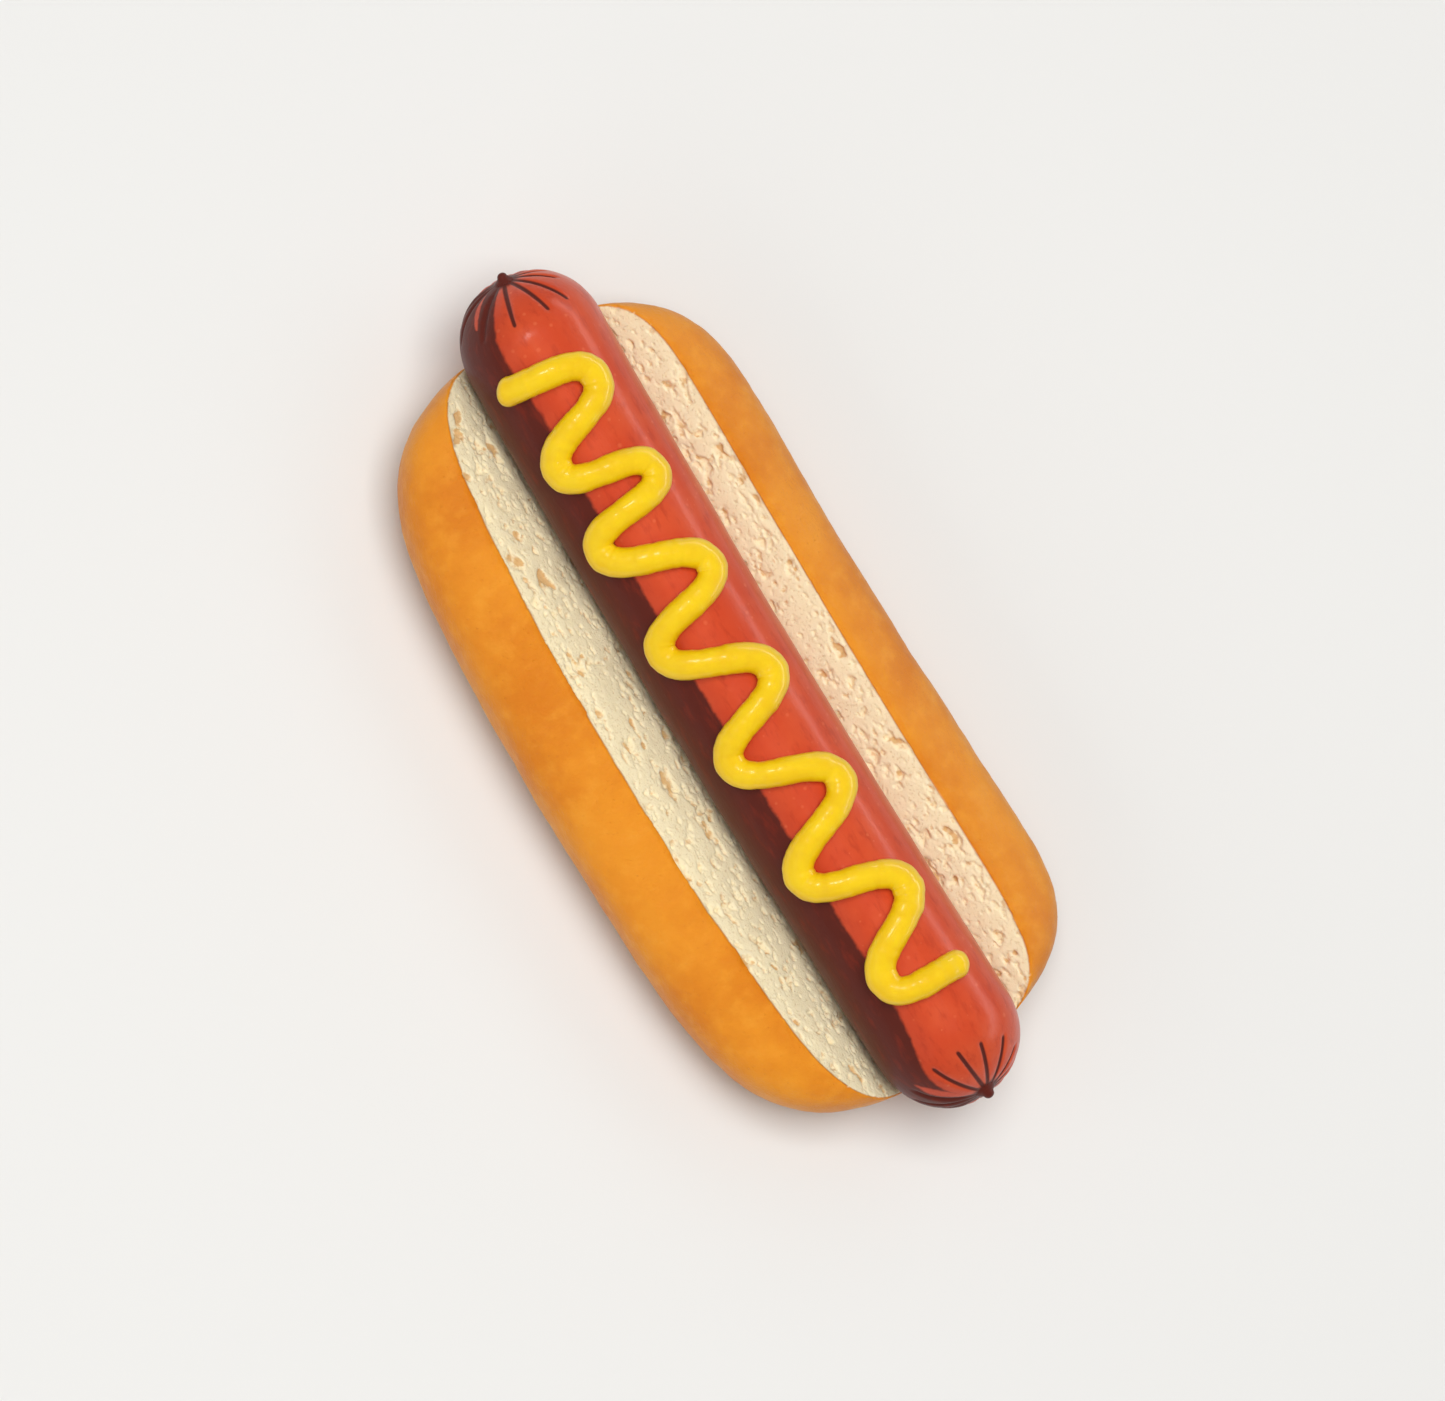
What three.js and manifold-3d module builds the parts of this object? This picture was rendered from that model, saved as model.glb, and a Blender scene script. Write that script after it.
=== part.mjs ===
// A hot dog: a long soft roll cut open along its top, a frankfurter laid in the cut, and a bead of
// mustard squeezed along the frankfurter in a zigzag.
//
// Millimetres, +Z up, +X along the roll. The roll stands on its flat underside at z = 0, and the
// origin is under the middle of the whole hot dog's bounding box.

import * as THREE from 'three';
import { mergeVertices } from 'three/addons/utils/BufferGeometryUtils.js';
import Module from 'manifold-3d';

const wasm = await Module();
wasm.setup();

const { clamp, degToRad, lerp, smoothstep } = THREE.MathUtils;

// ---------------------------------------------------------------- driving dimensions

// frankfurter: a capsule on a slightly bent centre line, pinched to a knot at each end
const SAUSAGE_LENGTH = 166.2;
const SAUSAGE_RADIUS = 12.9;
const SAUSAGE_END_EXPONENT = 2.15; // its ends are a little blunter than half balls
const SAUSAGE_AXIS_Z = 24.6;
const SAUSAGE_SWAY = 1.1;          // how far its ends bend to +Y
const SAUSAGE_LIFT = 1.6;          // how far its ends rise
const UPTURN = 20;                 // degrees that its last stretch turns up, to the knot
const UPTURN_LENGTH = 16;
const KNOT_RADIUS = 1.5;
const KNOT_LENGTH = 1.6;
const CREASE_COUNT = 13;
const CREASE_TURN_AT_START = -23;  // degrees round from the top to one crease, at the -X end
const CREASE_TURN_AT_END = -14;    // the same at the +X end
const CREASE_DEPTH = 0.9;
const CREASE_REACH = 9.5;          // how far the creases run back from the knot
const CREASE_FULL_RADIUS = 5;      // they get shallower where the casing is narrower than this

// roll, measured from the frankfurter's centre line
const ROLL_LENGTH = 148.2;
const ROLL_OFFSET_X = 1.25;
const ROLL_LEFT = 37.5;            // half width on the -Y side
const ROLL_RIGHT = 32.9;           // half width on the +Y side
const ROLL_RIGHT_FLARE = 1.4;      // how much that side widens from its middle to the +X end
const ROLL_RIGHT_WAIST = 1.9;      // and how much it narrows from its middle to both ends
const ROLL_WIDEST_Z = 14;
const ROLL_NOSE_Z = 16;            // height of the tips of its rounded ends
const ROLL_CROWN = 13.4;           // crown above the widest line
const ROLL_CROWN_EXPONENT = 2.8;
const ROLL_BELLY = 14.6;           // belly below the widest line, cut off flat at z = 0
const ROLL_BELLY_EXPONENT = 2.5;
const ROLL_SWAY = 5.0;             // how far its ends bend to +Y
const LEFT_TAPER = { late: 7, round: 2.95 };   // how its -Y side comes in at the ends
const RIGHT_TAPER = { late: 9, round: 1.28 };  // how its +Y side comes in there
const CROWN_TAPER = { late: 12, round: 3 };    // how its crown comes down there

// cut: two crumb faces that slope down to the bed in which the frankfurter lies
const BED_GAP = 0.3;
const BED_HALF_ANGLE = 54;         // degrees of the bed on each side of straight down
const LEFT_RIM = new THREE.Vector2(-25.7, 25.6);   // y and z where crumb meets crust, -Y side
const RIGHT_RIM = new THREE.Vector2(22.3, 25.8);   // the same on the +Y side
const LEFT_RIM_BOW = 4.7;          // how far the -Y rim comes in towards the ends
const RIGHT_RIM_BOW = 1.2;         // how far the +Y rim comes in there
const CRUMB_SWELL = 0.7;           // how far a crumb face swells out in its middle
const CUT_CLEARANCE = 16;          // how far the cut's outline runs on past the rims
const CUT_OVERRUN = 4;             // how far the cut runs on past the frankfurter's ends

// mustard bead
const BEAD_WIDTH = 4.95;
const BEAD_HEIGHT = 4.0;
const BEAD_GAP = 0.3;
const BEAD_ROUNDNESS = 2.3;
const BEAD_HANDLE = 5.9;           // how far each turn runs on along the frankfurter
const BEAD_END_LEAN = 0.4;         // how straight the first and last strokes leave their ends

// where the bead starts, turns and ends: distance along the frankfurter, degrees round from its top
const BEAD_START = [-64.5, -57];
const BEAD_TURNS = [
  [-58.2, 10.5], [-47.8, -43.8], [-39.6, 15.0], [-32.2, -47.1], [-21.0, 15.9], [-11.8, -45.7],
  [-0.2, 14.5], [10.5, -43.9], [21.7, 16.5], [33.3, -43.2], [43.1, 17.4], [55.5, -31.5],
];
const BEAD_END = [60.0, 28];

// how finely each piece is faceted
const CENTRE_LINE_STEPS = 400;
const SAUSAGE_SIDES = 66;
const SAUSAGE_DOME_STEPS = 9;
const SAUSAGE_BODY_STEPS = 10;
const SAUSAGE_KNOT_STEPS = 3;
const ROLL_SIDES = 56;
const ROLL_STEPS = 46;
const BED_STEPS = 12;
const CRUMB_STEPS = 5;
const CUT_STEPS = 22;
const BEAD_SIDES = 12;
const BEAD_STEP = 1.7;
const BEAD_CAP_STEPS = 4;

// ---------------------------------------------------------------- numbers and solids

/** `count` + 1 values at even steps from `from` to `to`. */
const evenSteps = (from, to, count) => (
  Array.from({ length: count + 1 }, (_, index) => lerp(from, to, index / count))
);

/** `count` angles at even steps round a full circle. */
const fullCircle = (count) => evenSteps(0, 2 * Math.PI, count).slice(0, count);

/** Height of a superellipse of unit size at distance x from its middle. */
const superellipse = (x, exponent) => (1 - Math.min(Math.abs(x), 1) ** exponent) ** (1 / exponent);

/** How far a long piece bends at distance x from its middle, when its ends bend by `amount`. */
const bend = (x, length, amount) => amount * (x / (length / 2)) ** 2;

/** One closed body from rings of equal length that follow each other along +X and run clockwise seen
 *  against it, drawn to a point at both ends. */
function loft(rings, startTip, endTip) {
  const count = rings[0].length;
  const points = [startTip, ...rings.flat(), endTip];
  const at = (ring, step) => 1 + ring * count + (step % count);
  const lastRing = rings.length - 1;
  const triangles = [];
  for (let step = 0; step < count; step += 1) {
    triangles.push(0, at(0, step), at(0, step + 1));
    for (let ring = 0; ring < lastRing; ring += 1) {
      triangles.push(at(ring, step), at(ring + 1, step), at(ring + 1, step + 1));
      triangles.push(at(ring, step), at(ring + 1, step + 1), at(ring, step + 1));
    }
    triangles.push(at(lastRing, step + 1), at(lastRing, step), points.length - 1);
  }
  const geometry = new THREE.BufferGeometry().setFromPoints(points);
  geometry.setIndex(triangles);
  return geometry;
}

function toManifold(geometry) {
  const merged = mergeVertices(geometry);
  return new wasm.Manifold(new wasm.Mesh({
    numProp: 3,
    vertProperties: new Float32Array(merged.attributes.position.array),
    triVerts: new Uint32Array(merged.index.array),
  }));
}

function fromManifold(solid) {
  const mesh = solid.getMesh();
  const geometry = new THREE.BufferGeometry();
  geometry.setAttribute('position', new THREE.Float32BufferAttribute(mesh.vertProperties, 3));
  geometry.setIndex(Array.from(mesh.triVerts));
  return geometry;
}

function namedMesh(name, geometry, color, roughness) {
  geometry.computeVertexNormals();
  const material = new THREE.MeshStandardMaterial({ color, roughness, metalness: 0 });
  const mesh = new THREE.Mesh(geometry, material);
  mesh.name = name;
  return mesh;
}

// ---------------------------------------------------------------- frankfurter

/** How steeply the frankfurter's centre line climbs, at distance s from its middle. */
function pitchAt(s) {
  const half = SAUSAGE_LENGTH / 2;
  const gentle = (2 * SAUSAGE_LIFT * s) / half ** 2;
  const turn = smoothstep(Math.abs(s), half - UPTURN_LENGTH, half) * degToRad(UPTURN);
  return gentle + Math.sign(s) * turn;
}

/** Points of the centre line from its middle to one end: `direction` is -1 or 1. */
function halfCentreLine(direction) {
  const step = (direction * SAUSAGE_LENGTH) / 2 / CENTRE_LINE_STEPS;
  const points = [new THREE.Vector3(0, 0, SAUSAGE_AXIS_Z)];
  for (let index = 1; index <= CENTRE_LINE_STEPS; index += 1) {
    const pitch = pitchAt((index - 0.5) * step);
    const last = points[index - 1];
    points.push(new THREE.Vector3(
      last.x + step * Math.cos(pitch),
      bend(index * step, SAUSAGE_LENGTH, SAUSAGE_SWAY),
      last.z + step * Math.sin(pitch),
    ));
  }
  return points;
}

const CENTRE_LINE = [...halfCentreLine(-1).reverse().slice(0, -1), ...halfCentreLine(1)];

/** Point at distance s along the frankfurter, `round` radians from its top and `out` from its axis. */
function sausagePoint(s, round, out) {
  const place = clamp((s / (SAUSAGE_LENGTH / 2) + 1) * CENTRE_LINE_STEPS, 0, 2 * CENTRE_LINE_STEPS);
  const index = Math.min(Math.floor(place), 2 * CENTRE_LINE_STEPS - 1);
  const centre = CENTRE_LINE[index].clone().lerp(CENTRE_LINE[index + 1], place - index);
  const pitch = pitchAt(s);
  const up = out * Math.cos(round);
  return centre.add(new THREE.Vector3(-up * Math.sin(pitch), out * Math.sin(round), up * Math.cos(pitch)));
}

/** Radius of the casing at distance `fromTip` from a tip: a small knot on a blunt dome. */
function casingRadius(fromTip) {
  const intoDome = clamp((fromTip - KNOT_LENGTH) / SAUSAGE_RADIUS, 0, 1);
  const dome = SAUSAGE_RADIUS * superellipse(1 - intoDome, SAUSAGE_END_EXPONENT);
  const intoKnot = clamp(fromTip / KNOT_LENGTH, 0, 1);
  const knot = KNOT_RADIUS * superellipse(1 - intoKnot, 2);
  return Math.max(dome, knot);
}

/** Depth of the gathered creases that run back from a knot. */
function creaseDepth(fromTip, round, radius, turn) {
  const fade = 1 - smoothstep(fromTip, KNOT_LENGTH, KNOT_LENGTH + CREASE_REACH);
  const wave = ((1 + Math.cos(CREASE_COUNT * (round - turn))) / 2) ** 3;
  return CREASE_DEPTH * fade * wave * Math.min(1, radius / CREASE_FULL_RADIUS);
}

/** Distances from a tip at which the casing has a ring of vertices. */
function endStations() {
  const knot = evenSteps(0, 1, SAUSAGE_KNOT_STEPS).slice(1).map((share) => share ** 1.5 * KNOT_LENGTH);
  const dome = evenSteps(0, Math.PI / 2, SAUSAGE_DOME_STEPS).slice(1).map((angle) => (
    KNOT_LENGTH + SAUSAGE_RADIUS * (1 - Math.cos(angle))
  ));
  return [...knot, ...dome];
}

function makeSausage() {
  const half = SAUSAGE_LENGTH / 2;
  const ends = endStations();
  const bodyHalf = half - ends[ends.length - 1];
  const body = evenSteps(-bodyHalf, bodyHalf, SAUSAGE_BODY_STEPS).slice(1, -1);
  const stations = [
    ...ends.map((fromTip) => fromTip - half),
    ...body,
    ...ends.map((fromTip) => half - fromTip).reverse(),
  ];
  const rings = stations.map((s) => {
    const fromTip = half - Math.abs(s);
    const radius = casingRadius(fromTip);
    const turn = degToRad(s < 0 ? CREASE_TURN_AT_START : CREASE_TURN_AT_END);
    return fullCircle(SAUSAGE_SIDES).map((round) => (
      sausagePoint(s, round, radius - creaseDepth(fromTip, round, radius, turn))
    ));
  });
  return loft(rings, sausagePoint(-half, 0, 0), sausagePoint(half, 0, 0));
}

// ---------------------------------------------------------------- roll

/** Share of the roll's full width or crown that is left at distance x from its middle. */
function rollTaper(x, { late, round }) {
  return (1 - Math.abs(x / (ROLL_LENGTH / 2)) ** late) ** (1 / round);
}

/** Section of the whole loaf at distance x from its middle: a rounded crown on a flatter belly. */
function loafRing(x) {
  const leftShare = rollTaper(x, LEFT_TAPER);
  const rightShare = rollTaper(x, RIGHT_TAPER);
  const share = (leftShare + rightShare) / 2;
  const along = x / (ROLL_LENGTH / 2);
  const left = ROLL_LEFT * leftShare;
  const right = (ROLL_RIGHT + ROLL_RIGHT_FLARE * along - ROLL_RIGHT_WAIST * along ** 2) * rightShare;
  const crown = ROLL_CROWN * rollTaper(x, CROWN_TAPER);
  const belly = ROLL_BELLY * share;
  const middleZ = lerp(ROLL_NOSE_Z, ROLL_WIDEST_Z, share);
  return fullCircle(ROLL_SIDES).map((angle) => {
    const across = Math.cos(angle);
    const up = -Math.sin(angle);
    const exponent = up > 0 ? ROLL_CROWN_EXPONENT : ROLL_BELLY_EXPONENT;
    const reach = across > 0 ? right : -left;
    const rise = up > 0 ? crown : -belly;
    return new THREE.Vector3(
      ROLL_OFFSET_X + x,
      bend(x, ROLL_LENGTH, ROLL_SWAY) + reach * Math.abs(across) ** (2 / exponent),
      Math.max(middleZ + rise * Math.abs(up) ** (2 / exponent), 0),
    );
  });
}

function makeLoaf() {
  const half = ROLL_LENGTH / 2;
  const angles = evenSteps(0, Math.PI, ROLL_STEPS).slice(1, -1);
  const rings = angles.map((angle) => loafRing(-half * Math.cos(angle)));
  const tip = (x) => new THREE.Vector3(ROLL_OFFSET_X + x, ROLL_SWAY, ROLL_NOSE_Z);
  return loft(rings, tip(-half), tip(half));
}

/** One crumb face as outline points, from the bed's edge out to the rim and on past it. */
function crumbFace(bedEdge, rim) {
  const face = evenSteps(0, 1, CRUMB_STEPS).slice(1).map((share) => {
    const point = bedEdge.clone().lerp(rim, share);
    point.y += CRUMB_SWELL * Math.sin(Math.PI * share);
    return point;
  });
  const beyond = 1 + CUT_CLEARANCE / Math.abs(rim.x - bedEdge.x);
  return [...face, bedEdge.clone().lerp(rim, beyond)];
}

/** Outline, in y and z, of what is cut out of the loaf at distance x from the frankfurter's middle: the
 *  bed between the two crumb faces. */
function cutOutline(x) {
  const radius = SAUSAGE_RADIUS + BED_GAP;
  const edge = degToRad(BED_HALF_ANGLE);
  const bed = evenSteps(-edge, edge, BED_STEPS).map((angle) => (
    new THREE.Vector2(radius * Math.sin(angle), SAUSAGE_AXIS_Z - radius * Math.cos(angle))
  ));
  const leftBow = new THREE.Vector2(bend(x, SAUSAGE_LENGTH, LEFT_RIM_BOW), 0);
  const rightBow = new THREE.Vector2(-bend(x, SAUSAGE_LENGTH, RIGHT_RIM_BOW), 0);
  const left = crumbFace(bed[0], LEFT_RIM.clone().add(leftBow));
  const right = crumbFace(bed[BED_STEPS], RIGHT_RIM.clone().add(rightBow));
  return [...left.reverse(), ...bed, ...right];
}

function makeCutter() {
  const half = SAUSAGE_LENGTH / 2 + CUT_OVERRUN;
  const rings = evenSteps(-half, half, CUT_STEPS).map((x) => {
    const sway = bend(x, SAUSAGE_LENGTH, SAUSAGE_SWAY);
    return cutOutline(x).reverse().map((point) => new THREE.Vector3(x, point.x + sway, point.y));
  });
  const tip = (x) => new THREE.Vector3(x, SAUSAGE_SWAY, SAUSAGE_AXIS_Z);
  return loft(rings, tip(-half), tip(half));
}

function makeBun() {
  return fromManifold(toManifold(makeLoaf()).subtract(toManifold(makeCutter())));
}

// ---------------------------------------------------------------- mustard

/** The bead's centre line on the unrolled casing: distance along, and arc length round from the top. */
function beadPath() {
  const unroll = ([along, degrees]) => new THREE.Vector2(along, degToRad(degrees) * SAUSAGE_RADIUS);
  const before = (turn) => new THREE.Vector2(turn.x - BEAD_HANDLE, turn.y);
  const after = (turn) => new THREE.Vector2(turn.x + BEAD_HANDLE, turn.y);
  const start = unroll(BEAD_START);
  const turns = BEAD_TURNS.map(unroll);
  const end = unroll(BEAD_END);
  const first = turns[0];
  const last = turns[turns.length - 1];

  const path = new THREE.CurvePath();
  const leaning = (tip, turn) => tip.clone().lerp(turn, BEAD_END_LEAN);
  path.add(new THREE.CubicBezierCurve(start, leaning(start, first), before(first), first));
  for (let index = 1; index < turns.length; index += 1) {
    const [from, to] = [turns[index - 1], turns[index]];
    path.add(new THREE.CubicBezierCurve(from, after(from), before(to), to));
  }
  path.add(new THREE.CubicBezierCurve(last, after(last), leaning(end, last), end));
  return path;
}

/** Distances along the bead at which it has a ring: close together in its round ends. */
function beadStations(length) {
  const radius = BEAD_WIDTH / 2;
  const cap = evenSteps(0, Math.PI / 2, BEAD_CAP_STEPS).slice(1).map((angle) => (
    radius * (1 - Math.cos(angle))
  ));
  const body = evenSteps(radius, length - radius, Math.round(length / BEAD_STEP)).slice(1, -1);
  return [...cap, ...body, ...cap.map((distance) => length - distance).reverse()];
}

function makeMustard() {
  const path = beadPath();
  const length = path.getLength();
  const radius = BEAD_WIDTH / 2;

  /** A point of the bead: its underside follows the casing, at a small gap. */
  const beadPoint = (distance, across, height) => {
    const point = path.getPointAt(distance / length);
    const tangent = path.getTangentAt(distance / length);
    const s = point.x - tangent.y * across;
    const arc = point.y + tangent.x * across;
    return sausagePoint(s, arc / SAUSAGE_RADIUS, SAUSAGE_RADIUS + BEAD_GAP + height);
  };
  const rings = beadStations(length).map((distance) => {
    const fromEnd = Math.min(distance, length - distance, radius);
    const size = superellipse(1 - fromEnd / radius, 2);
    return fullCircle(BEAD_SIDES).map((angle) => {
      const across = Math.cos(angle);
      const height = angle > Math.PI ? superellipse(across, BEAD_ROUNDNESS) : 0;
      return beadPoint(distance, across * size * radius, height * size * BEAD_HEIGHT);
    });
  });
  return loft(rings, beadPoint(0, 0, 0), beadPoint(length, 0, 0));
}

// ---------------------------------------------------------------- the whole hot dog

const hotDog = new THREE.Group();
hotDog.add(namedMesh('bun', makeBun(), 0xe49032, 0.7));
hotDog.add(namedMesh('sausage', makeSausage(), 0xcd5335, 0.35));
hotDog.add(namedMesh('mustard', makeMustard(), 0xf2ca22, 0.3));

const middle = new THREE.Box3().setFromObject(hotDog).getCenter(new THREE.Vector3());
hotDog.position.set(-middle.x, -middle.y, 0);

const model = new THREE.Group();
model.add(hotDog);

export default model;
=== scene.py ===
"""A hot dog: a soft roll cut open along its top, a frankfurter with one flank in painted shade coloured as
browning, and a bead of mustard squeezed along it in a zigzag. The script is laid out as a Blender add-on and
run as a script."""

import math

import bmesh
import bpy
import numpy as np
from bpy.props import FloatProperty, FloatVectorProperty, PointerProperty
from mathutils import Matrix, Vector


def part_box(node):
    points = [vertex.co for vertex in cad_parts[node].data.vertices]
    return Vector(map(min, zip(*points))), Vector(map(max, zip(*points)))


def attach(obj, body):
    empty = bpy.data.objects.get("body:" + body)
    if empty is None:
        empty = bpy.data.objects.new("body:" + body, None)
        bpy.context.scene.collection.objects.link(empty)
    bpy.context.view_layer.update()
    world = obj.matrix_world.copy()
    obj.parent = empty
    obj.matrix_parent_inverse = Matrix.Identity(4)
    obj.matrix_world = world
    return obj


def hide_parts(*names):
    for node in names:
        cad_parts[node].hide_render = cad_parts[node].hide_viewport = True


bl_info = {
    "name": "Hot Dog",
    "version": (1, 0, 0),
    "blender": (4, 5, 0),
    "location": "3D View > Sidebar > Hot Dog",
    "description": "Builds a dressed hot dog: bread, frankfurter and mustard",
    "category": "Add Mesh",
}

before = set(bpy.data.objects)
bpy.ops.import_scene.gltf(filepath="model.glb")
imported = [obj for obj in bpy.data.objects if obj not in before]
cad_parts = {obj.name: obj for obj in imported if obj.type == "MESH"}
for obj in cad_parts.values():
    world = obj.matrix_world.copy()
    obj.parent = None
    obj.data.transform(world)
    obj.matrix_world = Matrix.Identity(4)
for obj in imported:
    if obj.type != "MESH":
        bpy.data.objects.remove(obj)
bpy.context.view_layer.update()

MM = 0.001

# ------------------------------------------------------------------ forms shared with the frame

BUN_LOW, BUN_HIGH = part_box("bun")
SAUSAGE_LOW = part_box("sausage")[0]

CASING_RADIUS = 12.9 * MM
AXIS_Y = SAUSAGE_LOW.y + CASING_RADIUS
AXIS_Z = SAUSAGE_LOW.z + CASING_RADIUS
SAUSAGE_HALF = 83.1 * MM        # half its length along the centre line
SAUSAGE_SWAY = 1.1 * MM         # how far its ends bend to +Y
SAUSAGE_LIFT = 1.6 * MM         # how far its ends rise
UPTURN = math.radians(20)       # how far its last stretch turns up, to the knot
UPTURN_LENGTH = 16 * MM
DOME_EXPONENT = 2.15            # its ends are a little blunter than half balls
KNOT_LENGTH = 1.6 * MM

ROLL_MIDDLE_X = (BUN_LOW.x + BUN_HIGH.x) / 2
ROLL_HALF = 74.1 * MM           # half its length
ROLL_LEFT = AXIS_Y - BUN_LOW.y  # half width on the -Y side
ROLL_RIGHT = 32.9 * MM          # half width on the +Y side
ROLL_RIGHT_FLARE = 1.4 * MM     # how much that side widens from its middle to the +X end
ROLL_RIGHT_WAIST = 1.9 * MM     # and how much it narrows from its middle to both ends
ROLL_SWAY = 5.0 * MM            # how far its ends bend to +Y
ROLL_NOSE_Z = 16 * MM           # height of the tips of its rounded ends
ROLL_WIDEST_Z = 14 * MM         # height of its widest line in the middle
ROLL_CROWN = 13.4 * MM          # crown above the widest line
ROLL_BELLY = 14.6 * MM          # belly below the widest line, cut off flat at z = 0
CROWN_EXPONENT = 2.8
BELLY_EXPONENT = 2.5
LEFT_TAPER = (7, 2.95)          # how late and how round its -Y side comes in at the ends
RIGHT_TAPER = (9, 1.28)         # how its +Y side comes in there
CROWN_TAPER = (12, 3)           # how its crown comes down there
LEAST_TAPER = 0.02              # share of its width that the very ends keep
LEAST_CROWN = 0.3 * MM          # height of crown that they keep


def srgb(red, green, blue):
    """Scene-linear colour of a display colour given as three numbers up to 255."""
    shares = [channel / 255 for channel in (red, green, blue)]
    return tuple(s / 12.92 if s <= 0.04045 else ((s + 0.055) / 1.055) ** 2.4 for s in shares)


# ------------------------------------------------------------------ node trees written as expressions

MIX_COLORS = (6, 7)             # a Mix node's two colour inputs
MIX_RESULT = 2                  # and its colour output


class Value:
    """A node's output socket. Arithmetic on it adds Math nodes to its tree."""

    def __init__(self, tree, socket):
        self.tree = tree
        self.socket = socket

    def math(self, operation, *operands):
        return self.tree.node("ShaderNodeMath", {"operation": operation}, dict(enumerate((self, *operands))))

    def __add__(self, other):
        return self.math("ADD", other)

    __radd__ = __add__

    def __sub__(self, other):
        return self.math("SUBTRACT", other)

    def __rsub__(self, other):
        return -self + other

    def __mul__(self, other):
        return self.math("MULTIPLY", other)

    __rmul__ = __mul__

    def __truediv__(self, other):
        return self.math("DIVIDE", other)

    def __rtruediv__(self, other):
        return self.math("POWER", -1.0) * other

    def __neg__(self):
        return self.math("MULTIPLY", -1.0)

    def at_least(self, limit):
        return self.math("MAXIMUM", limit)

    def at_most(self, limit):
        return self.math("MINIMUM", limit)


class Tree:
    """A shader or geometry node tree that is filled by one method."""

    def __init__(self, nodes, links):
        self.nodes = nodes
        self.links = links

    def node(self, kind, settings=None, inputs=None, output=0):
        """Adds a node, sets its settings, then its sockets by name or number, and gives one output."""
        made = self.nodes.new(kind)
        for name, setting in (settings or {}).items():
            setattr(made, name, setting)
        for key, value in (inputs or {}).items():
            if isinstance(value, Value):
                self.links.new(value.socket, made.inputs[key])
            else:
                made.inputs[key].default_value = value
        return Value(self, made.outputs[output])

    def ease(self, value, low, high, start=0.0, end=1.0):
        """Start where the value is up to low, end from high on, and a smooth step between them."""
        inputs = {"Value": value, "From Min": low, "From Max": high, "To Min": start, "To Max": end}
        return self.node("ShaderNodeMapRange", {"interpolation_type": "SMOOTHSTEP"}, inputs)

    def noise(self, place, size, detail=2.0, roughness=0.5, seed=0.0):
        """Cloudy noise around a half, with patches of about the given size."""
        inputs = {"Vector": place, "W": seed, "Scale": 1 / size, "Detail": detail, "Roughness": roughness}
        return self.node("ShaderNodeTexNoise", {"noise_dimensions": "4D"}, inputs)

    def vector(self, operation, *operands, scale=None):
        inputs = dict(enumerate(operands))
        if scale is not None:
            inputs["Scale"] = scale
        return self.node("ShaderNodeVectorMath", {"operation": operation}, inputs)

    def axis(self, place, name):
        return self.node("ShaderNodeSeparateXYZ", inputs={"Vector": place}, output=name)

    def bowls(self, place, spacing, reach):
        """Round bowls at about this spacing: 1 at the bottom of a bowl and 0 outside. Their random sizes
        go up to the reach, a share of the spacing."""
        inputs = {"Vector": place, "Scale": 1 / spacing}
        distance = self.node("ShaderNodeTexVoronoi", inputs=inputs, output="Distance")
        chance = self.axis(self.node("ShaderNodeTexVoronoi", inputs=inputs, output="Color"), "X")
        share = distance / (reach * (0.25 + 0.75 * chance))
        return (1.0 - share * share).at_least(0.0)

    def mix(self, factor, first, second):
        """Colour first, turning into second as the factor goes from 0 to 1."""
        inputs = {"Factor": factor}
        for key, color in zip(MIX_COLORS, (first, second)):
            inputs[key] = color if isinstance(color, Value) else (*color, 1.0)
        return self.node("ShaderNodeMix", {"data_type": "RGBA"}, inputs, MIX_RESULT)

    def bump(self, height, distance):
        return self.node("ShaderNodeBump", inputs={"Height": height, "Distance": distance})

    def attribute(self, name):
        return self.node("ShaderNodeAttribute", {"attribute_name": name}, output="Fac")

    def place(self):
        return self.node("ShaderNodeTexCoord", output="Object")

    def recalled(self, name):
        """A number that is stored on a geometry's points."""
        return self.node("GeometryNodeInputNamedAttribute", {"data_type": "FLOAT"}, {"Name": name})

    def marked(self, geometry, name, value):
        """The geometry with a number stored on its points."""
        settings = {"data_type": "FLOAT", "domain": "POINT"}
        inputs = {"Geometry": geometry, "Name": name, "Value": value}
        return self.node("GeometryNodeStoreNamedAttribute", settings, inputs)

    def lifted(self, geometry, height):
        """The geometry with its points moved out along their normals."""
        offset = self.vector("SCALE", self.node("GeometryNodeInputNormal"), scale=height)
        return self.node("GeometryNodeSetPosition", inputs={"Geometry": geometry, "Offset": offset})


def new_material(name, fill, constants):
    """A material whose shader has these constant sockets and the links that fill(tree) gives."""
    material = bpy.data.materials.new(name)
    material.use_nodes = True
    tree = Tree(material.node_tree.nodes, material.node_tree.links)
    shader = tree.nodes["Principled BSDF"]
    for socket, constant in constants.items():
        shader.inputs[socket].default_value = constant
    for socket, value in fill(tree).items():
        tree.links.new(value.socket, shader.inputs[socket])
    return material


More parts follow.
